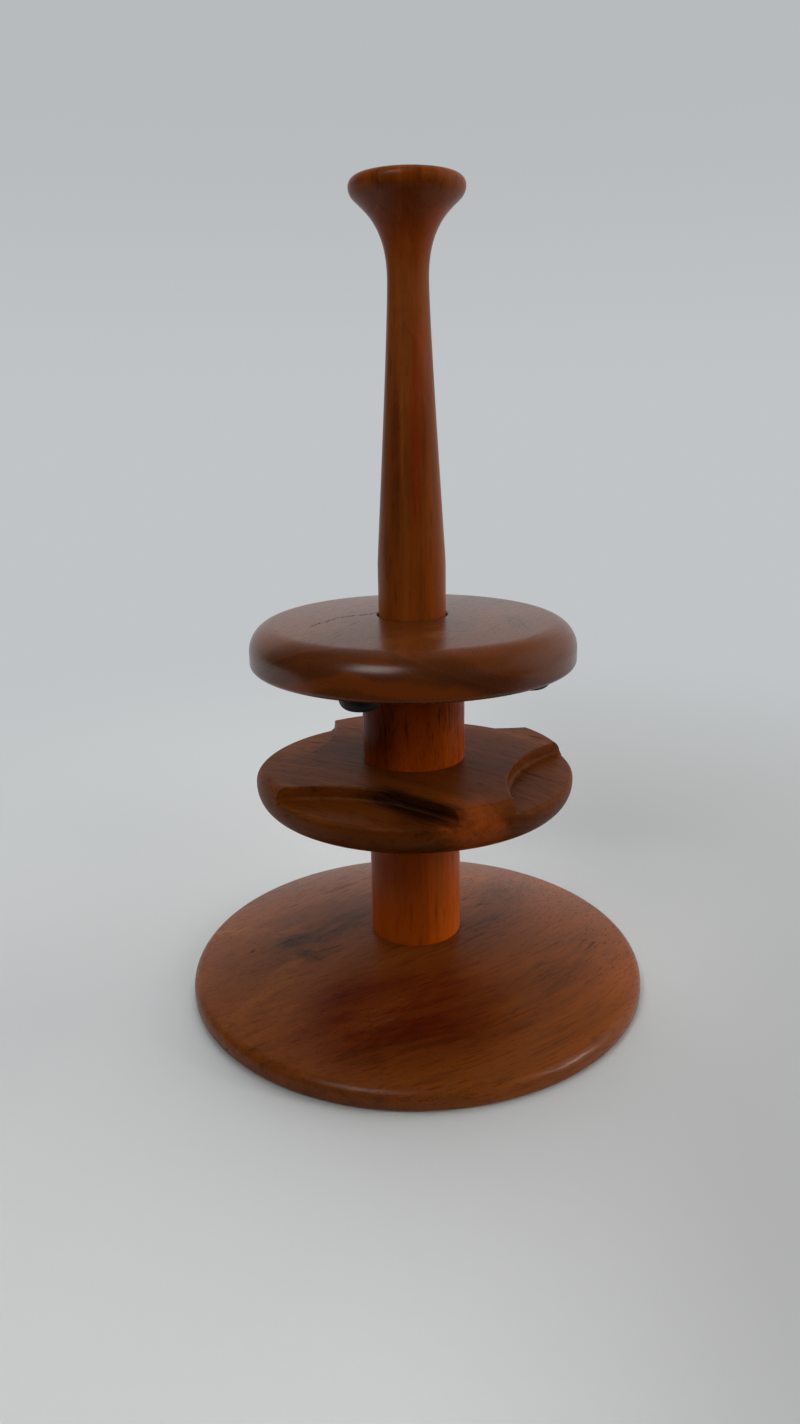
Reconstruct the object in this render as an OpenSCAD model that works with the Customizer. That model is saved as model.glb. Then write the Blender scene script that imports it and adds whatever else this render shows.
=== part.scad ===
// Revolving dish server stand, turned in teak.
//
// A domed base carries a short column. A steel spindle turns in the column and holds the
// carousel: a ledge disc with seats for four round dishes, a spacer, and a long stem to lift
// the stand by. A clamp disc slides on the stem. At rest it lies on the spacer, and its rubber
// stops hold the dishes by their near rims. When it is lifted up the stem, the dishes come free.
//
// Lengths are in millimetres. +Z is up, z = 0 is the surface that the stand rests on, and
// the first dish seat faces +X.

/* [Base] */
// Diameter of the base
base_d = 150; // [135:1:170]
// Radius of curvature of the base's domed top
base_dome_r = 250; // [230:5:300]
// Height of the base's widest line above its wooden underside
base_edge_h = 2.7; // [2.2:0.1:4]
// Rounding of the base's upper edge
base_top_round = 4; // [3:0.1:6]
// Rounding of the base's lower edge
base_low_round = 1.4; // [0.6:0.1:2]
// Thickness of the felt ring under the base
felt_t = 1.5; // [1:0.1:2.2]
// How far the felt stands proud of the wood
felt_proud = 0.5; // [0.2:0.1:0.9]
// Width of the bare wood round the felt
felt_margin = 12; // [8:1:20]

/* [Column] */
// Diameter of the column between the base and the ledge disc
column_d = 29.6; // [26:0.1:36]
// Length of the column that shows
column_h = 47; // [40:0.5:70]
// Diameter of the tenon that is glued into the base
column_tenon_d = 18; // [14:0.5:22]
// Length of that tenon
column_tenon_h = 4.5; // [3:0.1:5.5]

/* [Discs] */
// Diameter of the ledge disc and of the clamp disc
disc_d = 101.3; // [96:0.1:108]
// Thickness of the ledge disc
ledge_t = 13.7; // [13:0.1:18]
// Height of the ledge disc's widest line above its underside
ledge_edge_h = 7.4; // [5:0.1:8]
// How far its rim rounds in below that line
ledge_low_in = 6.2; // [4:0.1:8]
// How far its rim rounds in above that line
ledge_top_in = 3.2; // [2:0.1:6]
// Height of the clamp disc's widest line above its underside
clamp_edge_h = 5.1; // [4:0.1:7]
// Rounding of the clamp disc's upper edge
clamp_top_round = 8.4; // [7:0.1:10]
// Rounding of its lower edge
clamp_low_round = 1.8; // [1:0.1:3.5]
// Radius of curvature of its crowned top
clamp_dome_r = 600; // [450:10:900]
// Gap between the stem and the hole in the clamp disc, on the radius
clamp_play = 0.5; // [0.3:0.05:0.8]
// Rounding of the edges of that hole
clamp_hole_round = 0.6; // [0.3:0.1:1]

/* [Dish seats] */
// Radius of the round dish that a seat takes
seat_r = 52; // [46:0.5:56]
// Width of a seat, from the dish's near edge to the disc's rim
seat_w = 17.9; // [15:0.1:19]
// Depth of a seat below the ledge disc's top
seat_depth = 4.2; // [3:0.1:5]
// Cove at the foot of a seat's wall
seat_cove_r = 1.2; // [0.6:0.1:2]
// Rounding of the top of a seat's wall
seat_lip_r = 0.5; // [0.2:0.1:0.8]
// Rounding where a seat's floor meets the rim
seat_edge_r = 1.2; // [0.6:0.1:2]

/* [Spacer] */
// Diameter of the spacer between the two discs
spacer_d = 32.4; // [28:0.1:38]
// Height of the spacer, and so the gap between the discs
spacer_h = 31.3; // [26:0.1:45]
// Diameter of the spacer's tenon in the ledge disc
spacer_tenon_d = 20; // [16:0.5:24]
// Length of that tenon
spacer_tenon_h = 4.6; // [3:0.1:5]

/* [Stem] */
// Diameter of the straight part of the stem
stem_d = 20.8; // [19:0.1:24]
// Height of the straight part above the spacer
stem_straight_h = 30.5; // [27:0.5:34]
// Diameter of the neck, where the stem is thinnest
neck_d = 11.9; // [10.5:0.1:14]
// Height of the neck above the spacer
neck_h = 110.7; // [100:0.1:125]
// Diameter of the flared knob
knob_d = 32.7; // [29:0.1:38]
// Height of the knob, from the neck to its top
knob_h = 26.3; // [24:0.1:34]
// Slope of the flare where it runs into the knob's lip
knob_slope = 45; // [35:1:55]
// Rounding of the lip below its widest line
lip_low_r = 3.9; // [2.5:0.1:5]
// Rounding of the lip above its widest line
lip_top_r = 2.5; // [1.5:0.1:4]
// Rise of the knob's domed top
knob_crown = 0.6; // [0.3:0.1:1.6]
// Diameter of the stem's tenon in the spacer
stem_tenon_d = 14; // [13:0.5:16]
// Length of that tenon
stem_tenon_h = 16; // [14.5:0.5:20]

/* [Spindle] */
// Diameter of the spindle
spindle_d = 6; // [5:0.5:7]
// Running gap between the spindle and its sleeve, on the radius
spindle_play = 0.05; // [0.02:0.01:0.1]
// Wall of the brass sleeve
sleeve_wall = 1; // [0.6:0.1:1.5]
// Size of the hexagon nuts across the flats
nut_af = 10; // [9:0.5:11]
// Height of a nut
nut_h = 5; // [4:0.1:5.5]
// Diameter of the washer over the retaining nut
washer_d = 18; // [15:0.5:22]
// Thickness of that washer
washer_t = 1.6; // [1:0.1:2]
// Diameter of the threaded insert in the stem
insert_d = 10; // [9:0.5:11]
// Length of the insert
insert_h = 13; // [10:0.5:14]
// Thickness of the washer that the carousel turns on
thrust_t = 0.6; // [0.5:0.1:1.2]

/* [Rim stops] */
// Diameter of a rubber stop
stop_d = 12.4; // [10:0.1:14]
// Height of a rubber stop
stop_h = 5.3; // [4.4:0.1:7]
// Rounding of its lower edge
stop_round = 3.2; // [2:0.1:3.6]
// Distance from a dish's near edge to the middle of its stop
stop_inset = 5.4; // [4:0.1:8]
// How far the clamp disc and its stops stand turned from the seats, as it is loose on the stem
clamp_turn = -2.5; // [-6:0.5:6]
// Diameter of a stop screw's head
screw_head_d = 5.4; // [4.5:0.1:6.4]
// Height of the head
screw_head_h = 1.7; // [1.2:0.1:2.2]
// Diameter of its shank
screw_d = 2.8; // [2.4:0.1:3.5]
// Length of the screw in the wood
screw_grip = 8; // [6:0.5:9]

/* [Hidden] */

$fn = 96;
eps = 0.01;             // overrun of cutters past the faces that they cut
bore_play = 0.2;        // gap round a part that only passes through a bore
turn_gap = 0.05;        // gap between faces that slide on each other
glue_gap = 0.3;         // room for glue under the end of a tenon
key_gap = 0.7;          // room round a nut or a washer in its pocket
seat_count = 4;         // dish seats, each with a rim stop of its own

// Spindle hardware
spindle_bore_d = spindle_d + 2 * bore_play;
sleeve_bore_d = spindle_d + 2 * spindle_play;
sleeve_d = sleeve_bore_d + 2 * sleeve_wall;
nut_corners_d = nut_af / cos(30);
nut_pocket_d = nut_corners_d + 2 * key_gap;
nut_pocket_h = nut_h + 0.5;
thrust_hole_d = nut_pocket_d + 1;
thrust_d = column_d - 3;
spindle_tail = 0.7;     // how far the spindle stands out of the retaining nut
pocket_mouth = 1.2;     // from the wooden underside up to the retaining nut
pocket_d = washer_d + 6;
pocket_h = pocket_mouth + nut_h + washer_t + turn_gap;

// Height of a crowned disc's top above its underside, at the radius r
function dome_centre(d, edge_h, top_round, dome_r) =
    edge_h - sqrt(pow(dome_r - top_round, 2) - pow(d / 2 - top_round, 2));
function crown_height(d, edge_h, top_round, dome_r, r) =
    dome_centre(d, edge_h, top_round, dome_r) + sqrt(pow(dome_r, 2) - pow(r, 2));

// Heights, from the bottom up
base_z = felt_proud;
pocket_z = base_z + pocket_h;
column_z = base_z + crown_height(base_d, base_edge_h, base_top_round, base_dome_r, column_d / 2);
tenon_z = column_z - column_tenon_h;
ledge_z = column_z + column_h;
thrust_z = ledge_z - turn_gap - thrust_t;
ledge_top_z = ledge_z + ledge_t;
seat_z = ledge_top_z - seat_depth;
clamp_z = ledge_top_z + spacer_h;
clamp_low_z = clamp_z + turn_gap;
insert_z = clamp_z - stem_tenon_h;

felt_d = base_d - 2 * felt_margin;
felt_hole_d = pocket_d + 6;
seat_reach = disc_d / 2 - seat_w;        // wood left between the axis and a dish
seat_pitch_r = seat_r + seat_reach;
stop_pitch_r = seat_reach + stop_inset;
clamp_hole_d = stem_d + 2 * clamp_play;
lip_z = knob_h - knob_crown - lip_top_r;

// Colours, as the finished wood and metal look
TEAK = "#7a3e1c";
TEAK_LIGHT = "#a05a28";
TEAK_DARK = "#5e3018";
BRASS = "#b08d4a";
STEEL = "#9a9c9e";
RUBBER = "#1c1c1e";
FELT = "#3a4a36";

// ---- curves ----

// Points on an oval arc about (cx, cy) with the half widths rx and ry, from angle a0 to a1
function oval(cx, cy, rx, ry, a0, a1, steps) =
    [for (i = [0:steps]) let (a = a0 + (a1 - a0) * i / steps) [cx + rx * cos(a), cy + ry * sin(a)]];

// The same on a circle of radius r
function arc(cx, cy, r, a0, a1, steps) = oval(cx, cy, r, r, a0, a1, steps);

// Points on the cubic Bezier curve with the control points p
function bezier(p, steps) =
    [for (i = [0:steps]) let (t = i / steps, s = 1 - t)
        s * s * s * p[0] + 3 * s * s * t * p[1] + 3 * s * t * t * p[2] + t * t * t * p[3]];

// ---- shared shapes ----

// Round bar with its lower end at z
module bar(d, z, h) {
    translate([0, 0, z]) cylinder(d = d, h = h);
}

// Flat washer with its lower face at z
module washer(d, bore, z, t) {
    difference() {
        bar(d, z, t);
        bar(bore, z - eps, t + 2 * eps);
    }
}

// Hexagon nut with its lower face at z
module nut(z) {
    difference() {
        translate([0, 0, z]) cylinder(d = nut_corners_d, h = nut_h, $fn = 6);
        bar(spindle_d, z - eps, nut_h + 2 * eps);
    }
}

// Disc that is rounded below, widest at edge_h, rounded above, and crowned by a shallow dome
module crowned_disc(d, edge_h, low_round, top_round, dome_r) {
    dome_z = dome_centre(d, edge_h, top_round, dome_r);
    blend = atan2(edge_h - dome_z, d / 2 - top_round);
    rotate_extrude()
        polygon(concat(
            [[0, 0]],
            arc(d / 2 - low_round, low_round, low_round, -90, 0, 8),
            arc(d / 2 - top_round, edge_h, top_round, 0, blend, 14),
            arc(0, dome_z, dome_r, blend, 90, 16)
        ));
}

// Its children, once at each dish seat
module each_seat() {
    for (i = [0:seat_count - 1])
        rotate([0, 0, i * 360 / seat_count]) children();
}

// Its children, at the place of rim stop number i
module at_stop(i) {
    rotate([0, 0, i * 360 / seat_count + clamp_turn])
        translate([stop_pitch_r, 0, 0]) children();
}

// ---- standing parts ----

module base() {
    color(TEAK)
        difference() {
            translate([0, 0, base_z])
                crowned_disc(base_d, base_edge_h, base_low_round, base_top_round, base_dome_r);
            bar(column_d, column_z, base_dome_r);
            bar(column_tenon_d, tenon_z - glue_gap, base_dome_r);
            bar(sleeve_d, base_z - eps, column_z);
            bar(pocket_d, base_z - eps, pocket_h + eps);
            bar(felt_d, base_z - eps, felt_t - felt_proud + eps);
        }
}

module base_felt() {
    color(FELT) washer(felt_d, felt_hole_d, 0, felt_t);
}

module column() {
    color(TEAK_LIGHT)
        difference() {
            union() {
                bar(column_d, column_z, thrust_z - column_z);
                bar(column_tenon_d, tenon_z, column_tenon_h + eps);
            }
            bar(sleeve_d, tenon_z - eps, thrust_z - tenon_z + 2 * eps);
        }
}

// Brass tube that the spindle turns in, from the roof of the base's pocket to the column's end
module spindle_sleeve() {
    color(BRASS) washer(sleeve_d, sleeve_bore_d, pocket_z, thrust_z - pocket_z);
}

module thrust_washer() {
    color(BRASS) washer(thrust_d, thrust_hole_d, thrust_z, thrust_t);
}

// ---- carousel ----

// Space that a dish takes on its seat, with a cove at the foot of the wall and a rounded top edge
module dish_cutter() {
    top = seat_depth + 1;
    translate([seat_pitch_r, 0, seat_z])
        rotate_extrude()
            polygon(concat(
                [[0, 0]],
                arc(seat_r - seat_cove_r, seat_cove_r, seat_cove_r, -90, 0, 6),
                arc(seat_r + seat_lip_r, seat_depth - seat_lip_r, seat_lip_r, 180, 90, 4),
                [[seat_r + seat_lip_r, top], [0, top]]
            ));
}

// Rounds the outer edge of a seat's floor, inside the dish's circle
module floor_edge_cutter() {
    edge_rise = (ledge_t - seat_depth - seat_edge_r - ledge_edge_h) / (ledge_t - ledge_edge_h);
    rim_r = disc_d / 2 - ledge_top_in * (1 - sqrt(1 - pow(edge_rise, 2)));
    round_r = rim_r - seat_edge_r;
    intersection() {
        translate([seat_pitch_r, 0, seat_z - seat_edge_r])
            cylinder(r = seat_r - seat_cove_r, h = seat_edge_r + 1);
        translate([0, 0, seat_z])
            rotate_extrude()
                polygon(concat(
                    [[disc_d, 0.5], [round_r, 0.5]],
                    arc(round_r, -seat_edge_r, seat_edge_r, 90, 0, 6),
                    [[disc_d, -seat_edge_r]]
                ));
    }
}

module ledge_disc() {
    rim_r = disc_d / 2;
    color(TEAK_DARK)
        difference() {
            translate([0, 0, ledge_z])
                rotate_extrude()
                    polygon(concat(
                        [[0, 0]],
                        oval(rim_r - ledge_low_in, ledge_edge_h, ledge_low_in, ledge_edge_h, -90, 0, 14),
                        oval(rim_r - ledge_top_in, ledge_edge_h, ledge_top_in, ledge_t - ledge_edge_h,
                            0, 90, 14),
                        [[0, ledge_t]]
                    ));
            each_seat() {
                dish_cutter();
                floor_edge_cutter();
            }
            bar(spacer_tenon_d, ledge_top_z - spacer_tenon_h - glue_gap, ledge_t);
            bar(spindle_bore_d, ledge_z - eps, ledge_t);
            bar(nut_pocket_d, ledge_z - eps, nut_pocket_h + eps);
        }
}

module spacer() {
    color(TEAK_LIGHT)
        difference() {
            union() {
                bar(spacer_d, ledge_top_z, spacer_h);
                bar(spacer_tenon_d, ledge_top_z - spacer_tenon_h, spacer_tenon_h + eps);
            }
            bar(spindle_bore_d, ledge_z, ledge_t + spacer_h);
            bar(stem_tenon_d, insert_z - glue_gap, stem_tenon_h + 1);
        }
}

// Half outline of the stem above the spacer: straight, tapered down to the neck by a curve that
// eases in and out, flared into a rounded lip, and closed by a shallow dome
function stem_outline() =
    let (
        r = stem_d / 2,
        neck_r = neck_d / 2,
        taper_h = neck_h - stem_straight_h,
        lip_r = knob_d / 2,
        lip_low_z = neck_h + lip_z,
        flare_end = [lip_r - lip_low_r * (1 - cos(knob_slope)),
            lip_low_z - lip_low_r * sin(knob_slope)],
        flare_h = flare_end[1] - neck_h,
        dome_rim = lip_r - lip_top_r,
        dome_r = (pow(dome_rim, 2) + pow(knob_crown, 2)) / (2 * knob_crown),
        dome_angle = acos(dome_rim / dome_r)
    )
    concat(
        [[0, 0], [r, 0]],
        bezier([[r, stem_straight_h], [r, stem_straight_h + 0.02 * taper_h],
            [neck_r, neck_h - 0.16 * taper_h], [neck_r, neck_h]], 28),
        bezier([[neck_r, neck_h], [neck_r, neck_h + 0.67 * flare_h],
            flare_end - 0.2 * flare_h * [sin(knob_slope), cos(knob_slope)], flare_end], 20),
        arc(lip_r - lip_low_r, lip_low_z, lip_low_r, -knob_slope, 0, 8),
        arc(dome_rim, lip_low_z, lip_top_r, 0, dome_angle, 8),
        arc(0, neck_h + knob_h - dome_r, dome_r, dome_angle, 90, 10)
    );

module stem() {
    color(TEAK)
        difference() {
            union() {
                translate([0, 0, clamp_z]) rotate_extrude() polygon(stem_outline());
                bar(stem_tenon_d, insert_z, stem_tenon_h + eps);
            }
            bar(insert_d, insert_z - eps, insert_h + eps);
        }
}

module stem_insert() {
    color(BRASS) washer(insert_d, spindle_d, insert_z, insert_h);
}

module spindle() {
    spindle_z = base_z + pocket_mouth - spindle_tail;
    color(STEEL) bar(spindle_d, spindle_z, insert_z + insert_h - spindle_z);
}

module carousel_nut() {
    color(STEEL) nut(ledge_z + nut_pocket_h - nut_h);
}

module retaining_washer() {
    color(STEEL) washer(washer_d, spindle_d, pocket_z - turn_gap - washer_t, washer_t);
}

module retaining_nut() {
    color(STEEL) nut(base_z + pocket_mouth);
}

// ---- clamp disc ----

// Space for the stem through the clamp disc, flared where it meets the disc's two faces
module clamp_hole_cutter() {
    hole_r = clamp_hole_d / 2;
    top_h = crown_height(disc_d, clamp_edge_h, clamp_top_round, clamp_dome_r, hole_r);
    flare_r = hole_r + clamp_hole_round;
    translate([0, 0, clamp_low_z])
        rotate_extrude()
            polygon(concat(
                [[0, -1], [flare_r, -1]],
                arc(flare_r, clamp_hole_round, clamp_hole_round, 270, 180, 5),
                arc(flare_r, top_h - clamp_hole_round, clamp_hole_round, 180, 90, 5),
                [[flare_r, top_h + 1], [0, top_h + 1]]
            ));
}

module clamp_disc() {
    color(TEAK_DARK)
        difference() {
            translate([0, 0, clamp_low_z])
                crowned_disc(disc_d, clamp_edge_h, clamp_low_round, clamp_top_round, clamp_dome_r);
            clamp_hole_cutter();
            for (i = [0:seat_count - 1])
                at_stop(i) bar(screw_d, clamp_low_z - eps, screw_grip + eps);
        }
}

// Rubber buffer number i under the clamp disc, with a recess for its screw's head
module rim_stop(i) {
    head_recess_h = screw_head_h + 0.3;
    color(RUBBER)
        at_stop(i)
            translate([0, 0, clamp_low_z - stop_h])
                difference() {
                    rotate_extrude()
                        polygon(concat(
                            [[0, stop_h], [0, 0]],
                            arc(stop_d / 2 - stop_round, stop_round, stop_round, -90, 0, 10),
                            [[stop_d / 2, stop_h]]
                        ));
                    bar(screw_d, -eps, stop_h + 2 * eps);
                    bar(screw_head_d, -eps, head_recess_h + eps);
                }
}

// Round wood screws that hold the stops, with their heads just inside the rubber
module stop_screws() {
    head_z = clamp_low_z - stop_h + 0.3;
    color(STEEL)
        for (i = [0:seat_count - 1])
            at_stop(i) {
                bar(screw_head_d, head_z, screw_head_h);
                bar(screw_d, head_z, clamp_low_z + screw_grip - head_z);
            }
}

base();
base_felt();
column();
spindle_sleeve();
thrust_washer();
ledge_disc();
spacer();
stem();
stem_insert();
spindle();
carousel_nut();
retaining_washer();
retaining_nut();
clamp_disc();
rim_stop(0);  // rim_stop_right
rim_stop(1);  // rim_stop_back
rim_stop(2);  // rim_stop_left
rim_stop(3);  // rim_stop_front
stop_screws();
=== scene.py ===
"""Looks of the revolving dish server stand: oiled teak, black rubber, felt, brass and steel.

The wooden pieces and the rubber stops are turned again here with finer surfaces. The hardware
keeps its solids and only gets its finish. Lengths are in metres, but the wood's markings and
the painted shade and light on it are laid out in millimetres. +Z is up, and the first dish seat faces +X.
"""

import logging
import math
from dataclasses import dataclass, field
from enum import Enum
from typing import Optional, Union

import bmesh
import bpy
from mathutils import Euler, Matrix, Vector


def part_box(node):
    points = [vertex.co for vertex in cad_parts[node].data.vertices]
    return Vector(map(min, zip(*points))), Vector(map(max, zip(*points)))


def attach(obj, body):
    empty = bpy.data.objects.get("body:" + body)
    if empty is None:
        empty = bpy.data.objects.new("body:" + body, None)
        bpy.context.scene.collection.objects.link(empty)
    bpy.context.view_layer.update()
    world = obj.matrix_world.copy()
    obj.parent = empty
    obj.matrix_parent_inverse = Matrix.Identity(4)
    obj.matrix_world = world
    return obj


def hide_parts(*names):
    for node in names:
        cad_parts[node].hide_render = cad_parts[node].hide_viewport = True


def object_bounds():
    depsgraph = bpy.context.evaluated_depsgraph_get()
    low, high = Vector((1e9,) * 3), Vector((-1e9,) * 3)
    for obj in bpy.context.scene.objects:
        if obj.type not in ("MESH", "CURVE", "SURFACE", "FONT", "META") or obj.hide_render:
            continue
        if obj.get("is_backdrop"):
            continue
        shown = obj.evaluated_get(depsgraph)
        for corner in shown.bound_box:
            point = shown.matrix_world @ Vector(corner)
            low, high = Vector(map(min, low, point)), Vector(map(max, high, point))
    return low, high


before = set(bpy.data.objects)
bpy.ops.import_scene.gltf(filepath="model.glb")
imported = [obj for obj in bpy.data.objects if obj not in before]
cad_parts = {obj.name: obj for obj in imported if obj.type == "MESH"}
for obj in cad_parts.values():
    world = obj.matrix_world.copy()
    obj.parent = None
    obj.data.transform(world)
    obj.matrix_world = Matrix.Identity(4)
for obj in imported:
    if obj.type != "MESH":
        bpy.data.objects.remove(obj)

LOG = logging.getLogger("dish_stand")
MM = 0.001
TURN = 2.0 * math.pi
LATHE_STEPS = 192
SHARP_ANGLE = math.radians(32.0)
SAME_POINT = 0.0001 * MM
OVERCUT = 2.0 * MM
OLD_OIL = "1c0c05"

Point = tuple[float, float]
Place = tuple[float, float, float]
Tint = tuple[float, float, float]
Colour = tuple[float, float, float, float]
Socket = bpy.types.NodeSocket
Value = Union[float, Socket]


def srgb(code: str) -> Colour:
    """Linear colour of a hexadecimal sRGB code.

    Args:
        code: Six hexadecimal digits.

    Returns:
        Red, green, blue and alpha, all linear.
    """
    parts = [int(code[i:i + 2], 16) / 255.0 for i in (0, 2, 4)]
    linear = [p / 12.92 if p <= 0.04045 else ((p + 0.055) / 1.055) ** 2.4 for p in parts]
    return (linear[0], linear[1], linear[2], 1.0)


def metres(lengths: Place) -> Place:
    """Place or size in metres, from one in millimetres."""
    return (lengths[0] * MM, lengths[1] * MM, lengths[2] * MM)


# ---- shader wiring ----


class Wiring:
    """One material or world and the nodes that are added to it.

    Attributes:
        tree: Its node tree.
        place: Object coordinates.
        way: Direction of the ray, in a world.
    """

    def __init__(self, owner: Union[bpy.types.Material, bpy.types.World]) -> None:
        """Empties the owner's node tree.

        Args:
            owner: Material or world that gets the nodes.
        """
        owner.use_nodes = True
        self.tree = owner.node_tree
        self.tree.nodes.clear()
        coordinates = self.add("TexCoord").outputs
        self.place, self.way = coordinates["Object"], coordinates["Generated"]

    def add(self, kind: str, settings: Optional[dict] = None, **inputs: object) -> bpy.types.Node:
        """Adds a node, sets it and links it.

        Args:
            kind: Node type without its "ShaderNode" prefix.
            settings: Properties of the node, by name.
            **inputs: Input sockets by name with underscores for spaces, each a socket or a value.

        Returns:
            The new node.
        """
        node = self.tree.nodes.new("ShaderNode" + kind)
        for name, value in (settings or {}).items():
            setattr(node, name, value)
        for name, value in inputs.items():
            key = int(name[3:]) if name.startswith("in_") else name.replace("_", " ")
            self.feed(node.inputs[key], value)
        return node

    def feed(self, socket: Socket, value: object) -> None:
        """Links a socket to another, or sets its value.

        Args:
            socket: The input.
            value: The socket that feeds it, or its value.
        """
        if isinstance(value, bpy.types.NodeSocket):
            self.tree.links.new(value, socket)
        else:
            socket.default_value = value

    def math(self, operation: str, a: Value, b: Value = 0.0, clamp: bool = False) -> Socket:
        """Result of one Math node.

        Args:
            operation: The node's operation.
            a: First value.
            b: Second value.
            clamp: Whether the result is kept between 0 and 1.

        Returns:
            The result's socket.
        """
        return self.add("Math", {"operation": operation, "use_clamp": clamp}, in_0=a, in_1=b).outputs[0]

    def times(self, a: Value, b: Value) -> Socket:
        """Product of two values."""
        return self.math("MULTIPLY", a, b)

    def plus(self, a: Value, b: Value) -> Socket:
        """Sum of two values."""
        return self.math("ADD", a, b)

    def span(self, value: Value, low: float, high: float, to_low: float = 0.0,
             to_high: float = 1.0) -> Socket:
        """Value moved smoothly from one range to another, and kept inside it.

        Args:
            value: The value.
            low: Start of its range.
            high: End of its range.
            to_low: Result at the start.
            to_high: Result at the end.

        Returns:
            The result's socket.
        """
        node = self.add("MapRange", {"interpolation_type": "SMOOTHSTEP"}, Value=value,
                        From_Min=low, From_Max=high, To_Min=to_low, To_Max=to_high)
        return node.outputs[0]

    def vector(self, operation: str, a: object, b: object = (0.0, 0.0, 0.0),
               c: object = (0.0, 0.0, 0.0)) -> Socket:
        """Result of one Vector Math node.

        Args:
            operation: The node's operation.
            a: First vector.
            b: Second vector.
            c: Third vector, for operations that take three.

        Returns:
            The result's socket: a value for a length or a dot product, or else a vector.
        """
        node = self.add("VectorMath", {"operation": operation}, in_0=a, in_1=b, in_2=c)
        return node.outputs["Value" if operation in ("LENGTH", "DOT_PRODUCT") else "Vector"]

    def noise(self, place: Socket, frequency: float, octaves: float = 2.0, rough: float = 0.5,
              line: bool = False) -> Socket:
        """Noise, as a value round 0.5.

        Args:
            place: Where it is read: a vector, or a value for noise along a line.
            frequency: Its frequency, per unit of the place.
            octaves: Number of octaves above the first.
            rough: Strength of each octave against the one before.
            line: Whether it runs along a line.

        Returns:
            The value's socket.
        """
        where = {"W" if line else "Vector": place}
        node = self.add("TexNoise", {"noise_dimensions": "1D" if line else "3D"}, Scale=frequency,
                        Detail=octaves, Roughness=rough, **where)
        return node.outputs["Fac"]

    def seen_from(self, origin: Place, heading: float, tilt: float = 0.0,
                  unit: Place = (1.0, 1.0, 1.0)) -> Socket:
        """Object coordinates in a frame of their own.

        Args:
            origin: The frame's origin.
            heading: Direction of its X axis in the XY plane, in degrees.
            tilt: Its turn about its own Y axis, in degrees.
            unit: Length of a unit along each of its axes.

        Returns:
            The coordinates' socket.
        """
        turn = (0.0, math.radians(tilt), math.radians(heading))
        return self.add("Mapping", {"vector_type": "TEXTURE"}, Vector=self.place, Location=origin,
                        Rotation=turn, Scale=unit).outputs[0]

    def blend(self, factor: Value, a: object, b: object) -> Socket:
        """Mix of two colours.

        Args:
            factor: How much of the second.
            a: First colour.
            b: Second colour.

        Returns:
            The mixed colour's socket.
        """
        return self.add("Mix", {"data_type": "RGBA"}, in_0=factor, in_6=a, in_7=b).outputs[2]

    def ramp(self, factor: Socket, stops: list[tuple[float, Colour]]) -> Socket:
        """Colour ramp.

        Args:
            factor: Place along the ramp.
            stops: Places and colours, from low to high.

        Returns:
            The colour's socket.
        """
        node = self.add("ValToRGB", Fac=factor)
        bands = node.color_ramp.elements
        while len(bands) < len(stops):
            bands.new(1.0)
        for band, (place, colour) in zip(bands, stops):
            band.position = place
            band.color = colour
        return node.outputs["Color"]


# ---- finishes ----


class Grain(Enum):
    """How a piece was cut from its board, as the tilt of the grain in degrees."""

    LYING = 0.0
    UPRIGHT = -90.0


@dataclass(frozen=True)
class Texture:
    """Noise that is drawn out along the grain.

    Attributes:
        frequency: Its frequency across the grain, per metre.
        squeeze: Its frequency along the grain, against that across.
        octaves: Number of octaves above the first.
        rough: Strength of each octave against the one before.
    """

    frequency: float
    squeeze: float
    octaves: float
    rough: float

    def node(self, wires: Wiring, board: Socket) -> bpy.types.Node:
        """Adds the noise.

        Args:
            wires: The material's wiring.
            board: Coordinates along, across and through the board.

        Returns:
            The node.
        """
        drawn = wires.vector("MULTIPLY", board, (self.squeeze, 1.0, 1.0))
        return wires.add("TexNoise", Vector=drawn, Scale=self.frequency, Detail=self.octaves,
                         Roughness=self.rough)

    def value(self, wires: Wiring, board: Socket) -> Socket:
        """The noise's value, round 0.5."""
        return self.node(wires, board).outputs["Fac"]


FIBRES = Texture(1500.0, 0.012, 3.0, 0.6)
STREAKS = Texture(330.0, 0.06, 3.0, 0.55)
DASHES = Texture(520.0, 0.09, 2.0, 0.5)
SLOW_TONE = Texture(28.0, 0.35, 2.0, 0.5)
RING_WANDER = Texture(34.0, 0.22, 2.5, 0.45)
ARCH_WANDER = Texture(45.0, 0.3, 3.0, 0.55)
SMALL_PORES = Texture(2300.0, 0.10, 1.0, 0.4)
LARGE_PORES = Texture(900.0, 0.075, 1.0, 0.4)
PORE_PATCHES = Texture(60.0, 0.30, 2.0, 0.5)


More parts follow.
